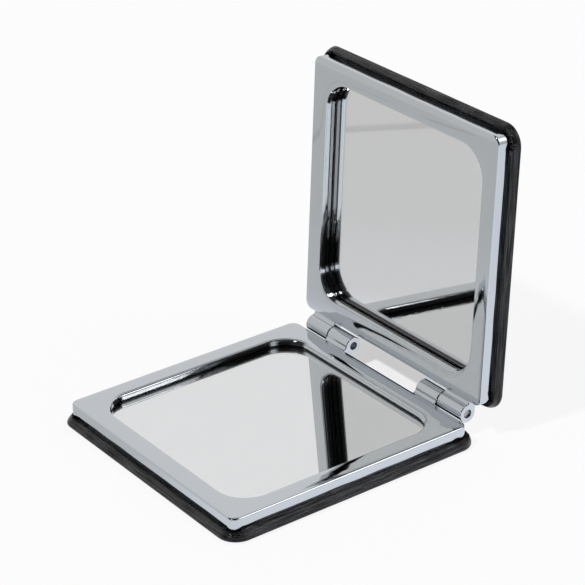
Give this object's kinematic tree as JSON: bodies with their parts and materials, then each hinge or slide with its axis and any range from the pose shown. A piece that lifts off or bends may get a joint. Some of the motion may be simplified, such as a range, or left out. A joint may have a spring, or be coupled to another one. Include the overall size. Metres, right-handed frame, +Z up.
{
  "type": "compact mirror",
  "caption": "Square folding pocket mirror: padded black leather covers, chrome frames and a pinned friction hinge, with a mirror in base and lid; it stands open or folds flat.",
  "frame": {"origin": "middle of the base's flat underside, on the surface it rests on", "axes": "+Z up, X along the hinge, +Y from the free edge towards the hinge"},
  "size_m": [0.0612, 0.0703, 0.0656],
  "materials": {
    "chrome_plate": "bright chrome plate on cast metal",
    "clear_glass": "clear polished float glass",
    "mirror_coat": "silvered coat, painted behind",
    "foam_tape": "white foam tape, dull",
    "film_tape": "thin bonding tape",
    "grey_board": "pressed grey board",
    "padding_foam": "soft thin padding sheet",
    "black_leather": "glossy black imitation leather with fine grain",
    "pin_steel": "plain drawn steel pin"
  },
  "bodies": {
    "base": {"base_frame": "chrome_plate", "base_mirror_glass": "clear_glass", "base_mirror_silver": "mirror_coat", "base_mirror_tape": "foam_tape", "base_bond_tape": "film_tape", "base_board": "grey_board", "base_foam": "padding_foam", "base_cover": "black_leather", "hinge_pin_left": "pin_steel", "hinge_pin_right": "pin_steel"},
    "lid": {"lid_frame": "chrome_plate", "lid_mirror_glass": "clear_glass", "lid_mirror_silver": "mirror_coat", "lid_mirror_tape": "foam_tape", "lid_bond_tape": "film_tape", "lid_board": "grey_board", "lid_foam": "padding_foam", "lid_cover": "black_leather"}
  },
  "joints": [
    {"name": "lid_hinge", "type": "hinge", "parent": "base", "child": "lid", "pos_m": [0, 0.031, 0.00495], "axis": [1, 0, 0], "range_deg": [-86, 94]}
  ]
}
